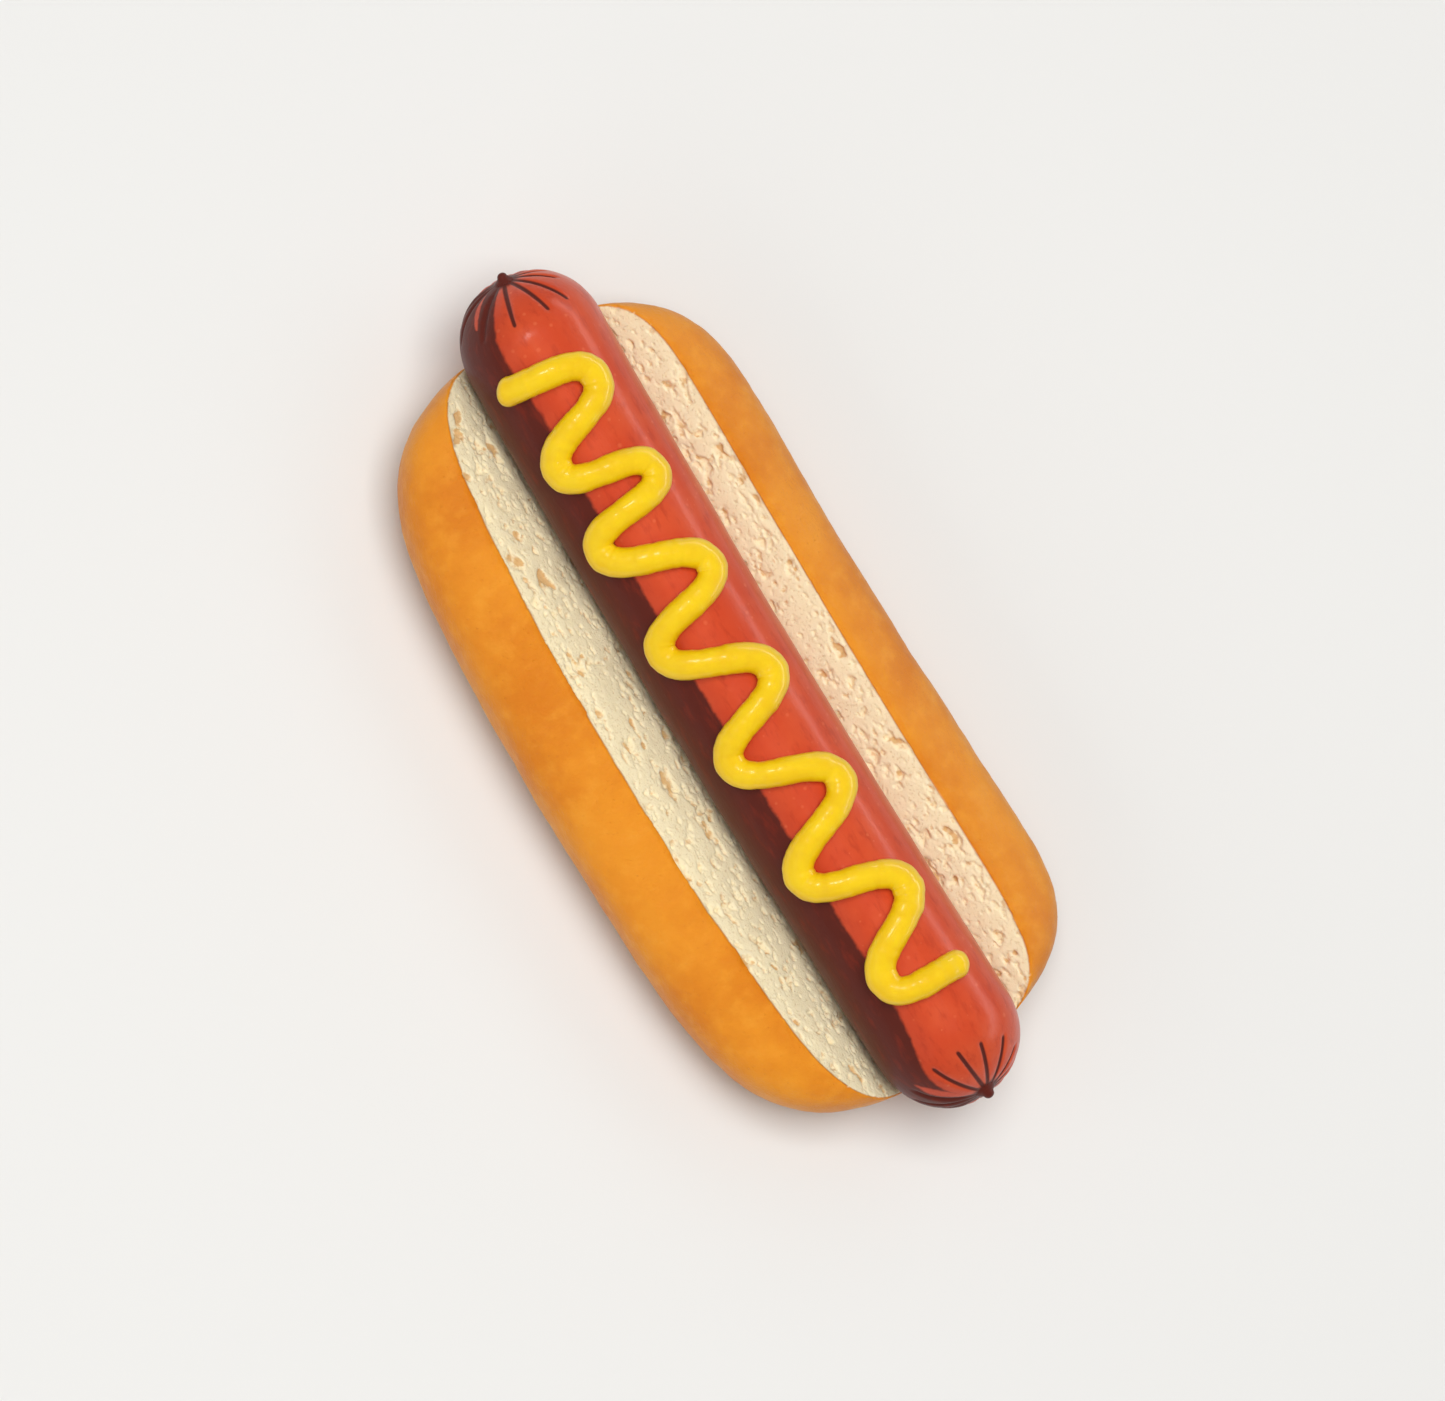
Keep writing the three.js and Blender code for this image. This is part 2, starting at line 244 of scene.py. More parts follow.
def new_geometry_tree(name, sizes):
    """A geometry tree with a geometry, a number for each of the names and a material as its inputs."""
    group = bpy.data.node_groups.new(name, "GeometryNodeTree")
    group.is_modifier = True
    group.interface.new_socket("Geometry", in_out="INPUT", socket_type="NodeSocketGeometry")
    for size in sizes:
        group.interface.new_socket(size, in_out="INPUT", socket_type="NodeSocketFloat")
    group.interface.new_socket("Material", in_out="INPUT", socket_type="NodeSocketMaterial")
    group.interface.new_socket("Geometry", in_out="OUTPUT", socket_type="NodeSocketGeometry")
    tree = Tree(group.nodes, group.links)
    source = group.nodes.new("NodeGroupInput")
    return group, tree, {socket.name: Value(tree, socket) for socket in source.outputs if socket.name}


def finish_tree(group, tree, geometry, material):
    """Ends a geometry tree in Realize Instances and Set Material."""
    real = tree.node("GeometryNodeRealizeInstances", inputs={"Geometry": geometry})
    dressed = tree.node("GeometryNodeSetMaterial", inputs={"Geometry": real, "Material": material})
    sink = group.nodes.new("NodeGroupOutput")
    tree.links.new(dressed.socket, sink.inputs["Geometry"])
    return group


def setting_values(settings, names):
    """Values for the inputs of a geometry tree, each from the setting of its name."""
    return {name: getattr(settings, name.lower().replace(" ", "_")) for name in names}


# ------------------------------------------------------------------ meshes and pieces


def new_object(name, data):
    made = bpy.data.objects.new(name, data)
    bpy.context.scene.collection.objects.link(made)
    return made


def new_mesh(name, vertices, faces, attributes):
    """A mesh from arrays, with named numbers on its vertices."""
    mesh = bpy.data.meshes.new(name)
    mesh.from_pydata(vertices.tolist(), [], faces)
    for key, values in attributes.items():
        store(mesh, key, values)
    return mesh


def store(mesh, name, values):
    """Stores a number on each of the mesh's vertices."""
    mesh.attributes.new(name, "FLOAT", "POINT").data.foreach_set("value", values)


def points_of(mesh):
    """The mesh's vertices as an array of rows."""
    flat = np.empty(len(mesh.vertices) * 3)
    mesh.vertices.foreach_get("co", flat)
    return flat.reshape(-1, 3)


def add_tree(source, group, values):
    """Puts a geometry tree on an object and sets the inputs it names."""
    modifier = source.modifiers.new(group.name, "NODES")
    modifier.node_group = group
    for item in group.interface.items_tree:
        if item.name in values:
            modifier[item.identifier] = values[item.name]


def settled(source):
    """The plain mesh that an object's modifiers make."""
    graph = bpy.context.evaluated_depsgraph_get()
    mesh = bpy.data.meshes.new_from_object(source.evaluated_get(graph))
    bpy.data.objects.remove(source)
    return mesh


def add_piece(name, mesh, material, node):
    """A finished piece that stands for a node of the frame and takes its finish from a slot."""
    mesh.materials.clear()
    mesh.materials.append(material)
    mesh.shade_smooth()
    piece = new_object(name, mesh)
    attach(piece, "root")
    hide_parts(node)


# ------------------------------------------------------------------ bread

WELD_DISTANCE = 0.02 * MM
SMOOTHING = 4                   # rounds of smoothing that take the remesh's steps away
CRUMB_CUTS = 3                  # cuts across each edge of the crust's mesh, on the crumb
BED_MARGIN = 1.1 * MM           # what lies nearer to the casing than this, and
BED_DEPTH = 2 * MM              # deeper under the crust than this, is the hidden bed
BREAD_INPUTS = ("Swell", "Wrinkle", "Crust", "Large Pores", "Small Pores", "Pore Depth", "Tear")
BREAD_SEED = 3.0


def taper(share, late, rounding):
    """Falls from 1 in the middle of the loaf to 0 at its ends: late, and then round."""
    return (1 - np.minimum(share, 1.0) ** late) ** (1 / rounding)


def loaf_field(points):
    """1 on the crust of the uncut loaf and less inside it."""
    x, y, z = points.T
    along = (x - ROLL_MIDDLE_X) / ROLL_HALF
    share = np.abs(along)
    left = np.maximum(taper(share, *LEFT_TAPER), LEAST_TAPER)
    right = np.maximum(taper(share, *RIGHT_TAPER), LEAST_TAPER)
    width = (left + right) / 2
    crown = np.maximum(ROLL_CROWN * taper(share, *CROWN_TAPER), LEAST_CROWN)
    off = y - AXIS_Y - ROLL_SWAY * share**2
    widest = ROLL_RIGHT + ROLL_RIGHT_FLARE * along - ROLL_RIGHT_WAIST * share**2
    across = np.abs(off) / np.where(off > 0, widest * right, ROLL_LEFT * left)
    above = z - ROLL_NOSE_Z - (ROLL_WIDEST_Z - ROLL_NOSE_Z) * width
    up = np.abs(above) / np.where(above > 0, crown, ROLL_BELLY * width)
    exponent = np.where(above > 0, CROWN_EXPONENT, BELLY_EXPONENT)
    return (across**exponent + up**exponent) ** (1 / exponent)


def under_crust(points):
    """How deep the points lie under the crust of the uncut loaf, and the way out to it."""
    step = 0.1 * MM
    slopes = [(loaf_field(points + a * step) - loaf_field(points - a * step)) / (2 * step) for a in np.eye(3)]
    slope = np.stack(slopes, -1)
    steepness = np.maximum(np.linalg.norm(slope, axis=1), 1.0)
    return (1 - loaf_field(points)) / steepness, slope / steepness[:, None]


def crust_depth(points):
    """Depth under the crust. The flat underside is crust too."""
    return np.minimum(under_crust(points)[0], np.maximum(points[:, 2], 0))


def rise(values, start, run):
    """0 up to the start, then an even rise to 1 over the run."""
    return np.clip((values - start) / run, 0, 1)


def round_out(mesh):
    """Moves the crust's vertices out to the smooth loaf, and leaves those of the cut where they are."""
    points = points_of(mesh)
    normals = np.empty(len(mesh.vertices) * 3)
    mesh.vertex_normals.foreach_get("vector", normals)
    depth, outward = under_crust(points)
    facing = (normals.reshape(-1, 3) * outward).sum(1)
    faces_out = rise(facing, 0.8, 0.12)
    off_floor = rise(points[:, 2], 0, 2 * MM)
    near_loaf = rise(-np.abs(depth), -1.2 * MM, 0.4 * MM)
    points += outward * (depth * (faces_out * off_floor * near_loaf))[:, None]
    mesh.vertices.foreach_set("co", points.ravel())


def wrapped(source):
    """The mesh of an object, drawn onto the frame's roll."""
    source.modifiers.new("wrap", "SHRINKWRAP").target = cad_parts["bun"]
    return settled(source)


def refine_cut(mesh, least_depth, cuts):
    """Splits the faces of the crumb and along its rim into smaller ones, outside the hidden bed."""
    points = points_of(mesh)
    depth = crust_depth(points)
    sway = SAUSAGE_SWAY * (points[:, 0] / SAUSAGE_HALF) ** 2
    from_axis = np.hypot(points[:, 1] - AXIS_Y - sway, points[:, 2] - AXIS_Z)
    hidden = (from_axis < CASING_RADIUS + BED_MARGIN) & (depth > BED_DEPTH)
    shown = (depth > least_depth) & ~hidden
    form = bmesh.new()
    form.from_mesh(mesh)
    edges = {edge for face in form.faces if any(shown[v.index] for v in face.verts) for edge in face.edges}
    edges = sorted(edges, key=lambda edge: edge.index)
    bmesh.ops.subdivide_edges(form, edges=edges, cuts=cuts, use_grid_fill=True)
    form.to_mesh(mesh)
    form.free()


def bread_mesh(bread):
    """An even mesh on the frame's roll, finer on the crumb, with the depth under the crust stored."""
    blank = new_object("bread_blank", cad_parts["bun"].data.copy())
    blank.modifiers.new("weld", "WELD").merge_threshold = WELD_DISTANCE
    remesh = blank.modifiers.new("remesh", "REMESH")
    remesh.mode = "VOXEL"
    remesh.voxel_size = bread.step
    blank.modifiers.new("smooth", "SMOOTH").iterations = SMOOTHING
    mesh = wrapped(blank)
    refine_cut(mesh, bread.crust, CRUMB_CUTS)
    mesh = wrapped(new_object("bread_cut", mesh))
    round_out(mesh)
    store(mesh, "depth", crust_depth(points_of(mesh)))
    return mesh


def bread_relief():
    """Swells and wrinkles on the crust, and open pores, drawn out along the roll, in the crumb."""
    group, tree, given = new_geometry_tree("Bread Relief", [*BREAD_INPUTS, "Seed"])
    place = tree.node("GeometryNodeInputPosition")
    seed = given["Seed"]
    crumb = tree.ease(tree.recalled("depth"), 0.0, given["Crust"] * 2.0)

    swell = (tree.noise(place, 22 * MM, 1.0, seed=seed) - 0.5) * given["Swell"]
    creep = (tree.noise(place, 8 * MM, 1.0, seed=seed) - 0.5) * given["Swell"] * 0.3
    wrinkle = (tree.noise(place, 4.5 * MM, 2.0, 0.6, seed) - 0.5) * given["Wrinkle"]

    drawn = tree.vector("MULTIPLY", place, (0.7, 1.0, 1.0))
    large = tree.ease(tree.noise(drawn, given["Large Pores"], 2.0, 0.5, seed), 0.33, 0.43, 1.0, 0.0)
    small = tree.ease(tree.noise(drawn, given["Small Pores"], 2.0, 0.5, seed), 0.32, 0.46, 1.0, 0.0)
    pores = large.at_least(small * 0.6)
    waves = (tree.noise(place, 5 * MM, 2.0, 0.5, seed) - 0.5) * given["Tear"]
    cut = waves - pores * given["Pore Depth"]

    off_floor = tree.ease(tree.axis(place, "Z"), 0.0, 2.5 * MM)
    height = (swell + creep + wrinkle * (1.0 - crumb) + cut * crumb) * off_floor
    bread = tree.marked(tree.lifted(given["Geometry"], height), "pores", pores * crumb)
    return finish_tree(group, tree, bread, given["Material"])


def bread_material(bread):
    """Golden crust, browner in clouds and underneath, and a matt cream crumb where it is cut, with painted
    shade in its pores.
    """

    def fill(tree):
        place = tree.place()
        height = tree.axis(place, "Z")
        pores = tree.attribute("pores")
        crumb = tree.ease(tree.attribute("depth"), bread.crust * 0.4, bread.crust)
        cloud = tree.noise(place, 18 * MM, 3.0, 0.5)
        mottle = tree.noise(place, 3.5 * MM, 4.0, 0.55)
        fine = tree.noise(place, 0.4 * MM, 3.0, 0.6)

        # Crust: browner clouds, pale flecks, a paler foot, a browned base and a few freckles.
        toast = tree.ease(cloud * 0.75 + mottle * 0.25, 0.38, 0.66)
        crust = tree.mix(toast, bread.crust_color, bread.toast_color)
        crust = tree.mix(tree.ease(mottle, 0.3, 0.5, 0.2, 0.0), crust, bread.pale_color)
        crust = tree.mix(tree.ease(height, 2 * MM, 13 * MM, 0.5, 0.0), crust, bread.pale_color)
        base = tree.ease(height + (mottle - 0.5) * (6 * MM), 0.0, 2.5 * MM, 0.9, 0.0)
        crust = tree.mix(base, crust, bread.toast_color)
        freckles = tree.bowls(place, 1.6 * MM, 0.2)
        crust = tree.mix(freckles * 0.25, crust, bread.toast_color)

        # Crumb: painted shade, darker at the bottom of its pores, down to tiny ones.
        tiny = tree.ease(fine, 0.3, 0.46, 1.0, 0.0)
        crumb_color = tree.mix(tiny * 0.3, bread.crumb_color, bread.pore_shade_color)
        crumb_color = tree.mix(tree.ease(pores, 0.1, 0.9, 0.0, 0.9), crumb_color, bread.pore_shade_color)
        color = tree.mix(crumb, crust, crumb_color)

        roughness = 0.4 + 0.14 * mottle + crumb * 0.45
        wrinkles = tree.noise(place, 1.5 * MM, 3.0, 0.6) * 0.5 + tree.noise(place, 0.5 * MM, 3.0, 0.6) * 0.3
        leather = (wrinkles - tree.bowls(place, 1.1 * MM, 0.2) * 0.2) * 2.6
        relief = leather * (1.0 - crumb) + (fine * 0.4 - tiny * 0.4) * crumb
        return {"Base Color": color, "Roughness": roughness, "Normal": tree.bump(relief, 0.18 * MM)}

    constants = {
        "Specular IOR Level": 0.3,
        "Subsurface Weight": 0.4,
        "Subsurface Radius": (1.0, 0.93, 0.8),
        "Subsurface Scale": 1.2 * MM,
    }
    return new_material("bread", fill, constants)


# ------------------------------------------------------------------ frankfurter

CENTRE_LINE_STEPS = 2000        # from the middle to each end
CASING_SIDES = 256
KNOT_RINGS = 12
DOME_RINGS = 60
BODY_RINGS = 184
RING_CROWDING = 1.4             # how much closer the knot's rings are towards its tip

KNOT_COLLAR = 0.5 * MM          # the gathered ring round the foot of each knot
CREASE_FADE = 0.12              # last share of a crease, in which it fades out
CREASE_FULL_RADIUS = 5 * MM     # creases get shallower where the casing is narrower than this
GATHER_LENGTH = 10 * MM         # how far from its tips the casing is gathered
PLUMPNESS = 0.35 * MM           # how far it stands out between the creases

# Creases gathered at each knot: degrees round from the top, towards +Y, and reach from the tip in mm.
CREASES_AT_START = (
    (-165, 7.5), (-140, 8.5), (-117, 7), (-97, 8.5), (-56, 9), (-23.5, 8.9), (9.5, 9.2), (32, 9.5),
    (60, 5), (86, 4), (112, 8), (138, 7), (165, 8.5),
)
CREASES_AT_END = (
    (-172, 8), (-148, 7), (-122, 8.5), (-98, 7.5), (-78, 8.5), (-42, 9.3), (-16, 9.1), (6.5, 8), (35, 7),
    (64, 5), (92, 8), (118, 7), (146, 8.5),
)

# How much the upper edge of the browned flank, painted shade along the -Y side, comes down at the casing's -X
# and
# +X end, over the last stretch.
SEAR_SHADE_DROP_AT_START = math.radians(6)
SEAR_SHADE_DROP_AT_END = math.radians(29)
SEAR_SHADE_DROP_LENGTH = 25 * MM

# Slivers that stay bare in the browned flank's painted shade: the casing's end, -1 at -X and 1 at +X, where
# they start and stop in mm from its tip, degrees round from the top at both, and half their greatest width in
# degrees.
BARE_SLIVERS = (
    (-1, 2, 6.2, -85, -65, 4.5),
    (1, 0.9, 8.6, -61, -68.5, 6),
)

CASING_INPUTS = ("Swell", "Wrinkle")
CASING_SEED = 5.0


def pitch_at(s):
    """How steeply the frankfurter's centre line climbs, at distance s from its middle."""
    share = np.clip((np.abs(s) - SAUSAGE_HALF + UPTURN_LENGTH) / UPTURN_LENGTH, 0, 1)
    turn = np.sign(s) * share**2 * (3 - 2 * share) * UPTURN
    return 2 * SAUSAGE_LIFT * s / SAUSAGE_HALF**2 + turn


def centre_line(s):
    """Points of the centre line at distances s from its middle."""
    marks = np.linspace(0, SAUSAGE_HALF, CENTRE_LINE_STEPS + 1)
    steps = np.diff(marks)
    pitch = pitch_at((marks[1:] + marks[:-1]) / 2)
    run = np.concatenate([[0], np.cumsum(steps * np.cos(pitch))])
    climb = np.concatenate([[0], np.cumsum(steps * np.sin(pitch))])
    x = np.sign(s) * np.interp(np.abs(s), marks, run)
    y = AXIS_Y + SAUSAGE_SWAY * (s / SAUSAGE_HALF) ** 2
    z = AXIS_Z + np.interp(np.abs(s), marks, climb)
    return np.stack([x, y, z], -1)


def casing_radius(from_tip, knot):
    """Radius of the casing at a distance from its tip: a small knot on a blunt dome."""
    into_dome = np.clip((from_tip - KNOT_LENGTH) / CASING_RADIUS, 0, 1)
    dome = CASING_RADIUS * (1 - (1 - into_dome) ** DOME_EXPONENT) ** (1 / DOME_EXPONENT)
    into_knot = np.clip(from_tip / KNOT_LENGTH, 0, 1)
    tip = np.sqrt(1 - (1 - np.minimum(2 * into_knot, 1)) ** 2)
    flare = 1.2 * np.clip((into_knot - 0.4) / 0.6, 0, 1) ** 2
    return np.maximum(dome, knot * (tip + flare))


def crease_marks(from_tip, around, radius, creases, width):
    """1 in the middle of a crease and 0 off it. The creases run back from the knot and fade out."""
    marks = np.clip(1 - (from_tip - KNOT_LENGTH) / KNOT_COLLAR, 0, 1)
    for degrees, reach in creases:
        along = from_tip / (reach * MM)
        away = (around - math.radians(degrees) + math.pi) % (2 * math.pi) - math.pi
        narrowing = 1.1 - 0.3 * along
        mark = np.exp(-((away * radius / (width * narrowing)) ** 2))
        marks = np.maximum(marks, mark * np.clip((1 - along) / CREASE_FADE, 0, 1))
    return marks


def gathered_radius(from_tip, radius, marks, depth):
    """The radius where the casing is pressed in at its creases and plump between them."""
    full = np.minimum(radius / CREASE_FULL_RADIUS, 1) * (from_tip > KNOT_LENGTH)
    plump = PLUMPNESS * np.clip(1 - from_tip / GATHER_LENGTH, 0, 1)
    fading = np.clip(1.2 - from_tip / GATHER_LENGTH, 0.3, 1)
    return radius + full * (plump - marks * (depth + plump) * fading)


def inside_sear_shade(s, around, sausage):
    """How far inside the browned flank, a band of painted shade coloured as browning, as an angle. Below 0 it
    is
    outside: also in two bare slivers.
    """
    from_tip = SAUSAGE_HALF - np.abs(s)
    near_end = np.clip(1 - from_tip / SEAR_SHADE_DROP_LENGTH, 0, 1)
    drop = np.where(s > 0, SEAR_SHADE_DROP_AT_END * near_end**2, SEAR_SHADE_DROP_AT_START * np.sqrt(near_end))
    inside = np.minimum(sausage.sear_shade_top - drop - around, around - sausage.sear_shade_bottom)
    for side, first, last, near, far, wide in BARE_SLIVERS:
        along = (from_tip / MM - first) / (last - first)
        middle = np.radians(near + (far - near) * np.clip(along, 0, 1) ** 0.6)
        half = math.radians(wide) * np.sin(math.pi * np.clip(along, 0, 1) ** 0.7)
        bare = (np.sign(s) == side) & (along > 0) & (along < 1)
        inside = np.where(bare, np.minimum(inside, np.abs(around - middle) - half), inside)
    return inside


def ring_places():
    """Distances of the casing's rings from its middle, close together at the knots and domes."""
    knot = KNOT_LENGTH * np.linspace(0, 1, KNOT_RINGS)[1:] ** RING_CROWDING
    dome = KNOT_LENGTH + CASING_RADIUS * (1 - np.cos(np.linspace(0, math.pi / 2, DOME_RINGS)[1:]))
    ends = np.concatenate([knot, dome])
    body = np.linspace(ends[-1] - SAUSAGE_HALF, SAUSAGE_HALF - ends[-1], BODY_RINGS)[1:-1]
    return np.concatenate([ends - SAUSAGE_HALF, body, (SAUSAGE_HALF - ends)[::-1]])


def ring_faces(rings, sides):
    """Quads between the rings, and a fan at each end to the first and to the last vertex."""
    ring = np.arange(sides)
    following = (ring + 1) % sides
    near = 1 + sides * np.arange(rings - 1)[:, None]
    far = near + sides
    quads = np.stack([near + ring, far + ring, far + following, near + following], -1)
    last_ring = 1 + sides * (rings - 1)
    last = last_ring + sides
    start_fan = [(0, 1 + a, 1 + b) for a, b in zip(ring, following)]
    end_fan = [(last_ring + b, last_ring + a, last) for a, b in zip(ring, following)]
    return start_fan + quads.reshape(-1, 4).tolist() + end_fan


def casing_mesh(sausage):
    """Rings along the centre line, closed by a point at each knot."""
    turn = np.linspace(-math.pi, math.pi, CASING_SIDES, endpoint=False)
    s, around = np.meshgrid(ring_places(), turn, indexing="ij")
    from_tip = SAUSAGE_HALF - np.abs(s)
    radius = casing_radius(from_tip, sausage.knot)
    at_start = crease_marks(from_tip, around, radius, CREASES_AT_START, sausage.crease_width)
    at_end = crease_marks(from_tip, around, radius, CREASES_AT_END, sausage.crease_width)
    marks = np.where(s < 0, at_start, at_end)
    out = gathered_radius(from_tip, radius, marks, sausage.crease_depth)

    up = out * np.cos(around)
    pitch = pitch_at(s)
    points = centre_line(s) + np.stack([-up * np.sin(pitch), out * np.sin(around), up * np.cos(pitch)], -1)
    tips = centre_line(np.array([-SAUSAGE_HALF, SAUSAGE_HALF]))
    vertices = np.concatenate([tips[:1], points.reshape(-1, 3), tips[1:]])
    # Where the painted shade of the browned flank lies.
    sear_shade = inside_sear_shade(s, around, sausage)
    attributes = {
        "sear_shade": np.concatenate([[-1], sear_shade.ravel(), [-1]]),
        "crease": np.concatenate([[1], marks.ravel(), [1]]),
    }
    return new_mesh("casing", vertices, ring_faces(len(s), CASING_SIDES), attributes)


def casing_relief():
    """A slightly uneven girth, and wrinkles that run along the casing."""
    group, tree, given = new_geometry_tree("Casing Relief", [*CASING_INPUTS, "Seed"])
    place = tree.node("GeometryNodeInputPosition")
    stretched = tree.vector("MULTIPLY", place, (0.4, 1.0, 1.0))
    swell = (tree.noise(place, 20 * MM, 1.0, seed=given["Seed"]) - 0.5) * given["Swell"]
    wrinkle = (tree.noise(stretched, 2.2 * MM, 3.0, 0.55, given["Seed"]) - 0.5) * given["Wrinkle"]
    return finish_tree(group, tree, tree.lifted(given["Geometry"], swell + wrinkle), given["Material"])


def casing_material(sausage):
    """Red-brown glossy casing, with painted shade coloured as browning along one flank, and painted shade in
    its creases.
    """

    def fill(tree):
        place = tree.place()
        stretched = tree.vector("MULTIPLY", place, (0.35, 1.0, 1.0))
        cloud = tree.noise(place, 9 * MM, 3.0, 0.6)
        mottle = tree.noise(stretched, 1.5 * MM, 4.0, 0.6)

        # The browned flank, painted shade coloured as browning, has a slightly ragged edge, and painted shade
        # darkens the casing towards it.
        ragged = (cloud - 0.5) * 0.05 + (tree.noise(place, 2 * MM, 4.0, 0.6) - 0.5) * 0.09
        sear_shade = tree.ease(tree.attribute("sear_shade") + ragged, -0.035, 0.03)
        shade_falloff = tree.ease(tree.attribute("sear_shade") + ragged, -0.4, 0.0, 0.0, 0.3)
        crease = tree.ease(tree.attribute("crease"), 0.3, 0.75)

        red = tree.mix(tree.ease(cloud, 0.35, 0.65), sausage.light_color, sausage.casing_color)
        red = tree.mix(tree.ease(mottle, 0.5, 0.72, 0.0, 0.45), red, sausage.deep_color)
        red = tree.mix(tree.bowls(place, 2.1 * MM, 0.24) * 0.4, red, sausage.fleck_color)
        # Painted shade: the casing darkens towards the browned flank.
        red = tree.mix(shade_falloff, red, sausage.deep_color)
        dark = tree.mix(tree.ease(mottle, 0.5, 0.75, 0.0, 0.25), sausage.sear_and_shade_color, sausage.deep_color)
        color = tree.mix(sear_shade, red, dark)
        # Painted shade in the creases, round the foot of each knot and on the knots.
        color = tree.mix(crease, color, sausage.sear_and_shade_color)

        dull = sear_shade.at_least(crease)
        skin = tree.noise(stretched, 0.7 * MM, 4.0, 0.6) + tree.bowls(place, 1.1 * MM, 0.25) * 0.4
        return {
            "Base Color": color,
            "Roughness": 0.27 + 0.14 * mottle + 0.14 * dull,
            "Coat Weight": 0.25 - 0.15 * dull,
            "Normal": tree.bump(skin, 0.05 * MM),
        }

    constants = {
        "Specular IOR Level": 0.2,
        "Subsurface Weight": 0.1,
        "Subsurface Radius": (1.0, 0.3, 0.15),
        "Subsurface Scale": 1.5 * MM,
        "Coat Roughness": 0.2,
    }
    return new_material("casing", fill, constants)


# ------------------------------------------------------------------ mustard

# Turns of the bead: distance along the frankfurter in mm, and degrees round from its top, towards +Y.
BEAD_START = (-64.5, -57)
BEAD_TURNS = (
    (-58.2, 10.5), (-47.8, -43.8), (-39.6, 15), (-32.2, -47.1), (-21, 15.9), (-11.8, -45.7),
    (-0.2, 14.5), (10.5, -43.9), (21.7, 16.5), (33.3, -43.2), (43.1, 17.4), (55.5, -31.5),
)
BEAD_END = (60, 28)

BEAD_SIDES = 36
BEAD_FOOT = 0.72                # the bead is cut off flat this share of its half width under its middle
LEAST_GIRTH = 0.01              # share of its girth that the very ends keep
PATH_STEPS = 64                 # between two turns
QUARTER_TURN = math.pi / 2
TURN_TOLERANCE = 0.001          # a bead's end stops this short of its quarter turn
BEAD_INPUTS = ("Width", "Height", "Gap", "Pulse", "Beat", "Ripple", "Step")
BEAD_SEED = 2.0
CASING_FORM = {
    "Casing Radius": CASING_RADIUS,
    "Half Length": SAUSAGE_HALF,
    "Sway": SAUSAGE_SWAY,
    "Lift": SAUSAGE_LIFT,
    "Axis Y": AXIS_Y,
    "Axis Z": AXIS_Z,
}


def bead_path(mustard):
    """The bead's centre line on the unrolled casing: x runs along it, y is the way round from its top."""
    stations = [
        Vector((along * MM, math.radians(degrees) * CASING_RADIUS, 0))
        for along, degrees in (BEAD_START, *BEAD_TURNS, BEAD_END)
    ]
    curve = bpy.data.curves.new("mustard_path", "CURVE")
    curve.dimensions = "3D"
    curve.resolution_u = PATH_STEPS
    spline = curve.splines.new("BEZIER")
    spline.bezier_points.add(len(stations) - 1)
    handle = Vector((mustard.turn, 0, 0))
    for point, station in zip(spline.bezier_points, stations):
        point.handle_left_type = point.handle_right_type = "FREE"
        point.co = station
        point.handle_left = station - handle
        point.handle_right = station + handle
    spline.bezier_points[0].handle_right = stations[0].lerp(stations[1], mustard.end_lean)
    spline.bezier_points[-1].handle_left = stations[-1].lerp(stations[-2], mustard.end_lean)
    return new_object("mustard_path", curve)


def bead_line(tree, given, radius):
    """The bead's path in even steps, closer together in its round ends, with the girth stored on it."""
    step = {"Curve": given["Geometry"], "Length": given["Step"]}
    even = tree.node("GeometryNodeResampleCurve", {"mode": "LENGTH"}, step)
    span = tree.node("GeometryNodeSplineLength", output="Length")
    run = tree.node("GeometryNodeSplineParameter", output="Length")
    turn = (run.at_most(span - run) / radius).at_most(1.0) * QUARTER_TURN
    in_end = turn.math("LESS_THAN", QUARTER_TURN - TURN_TOLERANCE)
    on_far_half = run.math("GREATER_THAN", span * 0.5)
    from_tip = radius * (1.0 - turn.math("COSINE"))
    rounded = from_tip + on_far_half * (span - 2.0 * from_tip)
    spot = {"Curves": given["Geometry"], "Length": run + in_end * (rounded - run)}
    place = tree.node("GeometryNodeSampleCurve", {"mode": "LENGTH"}, spot, "Position")
    pulse = (tree.noise(place, 9 * MM, 2.0, seed=given["Seed"]) - 0.5) * given["Pulse"]
    beat = (tree.noise(place, 1.7 * MM, 1.0, seed=given["Seed"]) - 0.5) * given["Beat"]
    girth = turn.math("SINE").at_least(LEAST_GIRTH) * (1.0 + pulse + beat)
    line = tree.marked(even, "girth", girth)
    line = tree.node("GeometryNodeSetPosition", inputs={"Geometry": line, "Position": place})
    return tree.node("GeometryNodeSetCurveNormal", {"mode": "Z_UP"}, {"Curve": line})


def bead_section(tree, given, place):
    """A round section cut off flat under its middle, and stretched to the bead's height."""
    ring = tree.node("GeometryNodeCurvePrimitiveCircle", inputs={"Resolution": BEAD_SIDES, "Radius": 1.0})
    squash = given["Height"] / given["Width"]
    domed = ((tree.axis(place, "Y") + BEAD_FOOT) * squash * (2 / (1 + BEAD_FOOT))).at_least(0.0)
    outline = tree.node("ShaderNodeCombineXYZ", inputs={"X": tree.axis(place, "X"), "Y": -domed})
    section = tree.node("GeometryNodeSetPosition", inputs={"Geometry": ring, "Position": outline})
    return tree.node("GeometryNodeReverseCurve", inputs={"Curve": section})


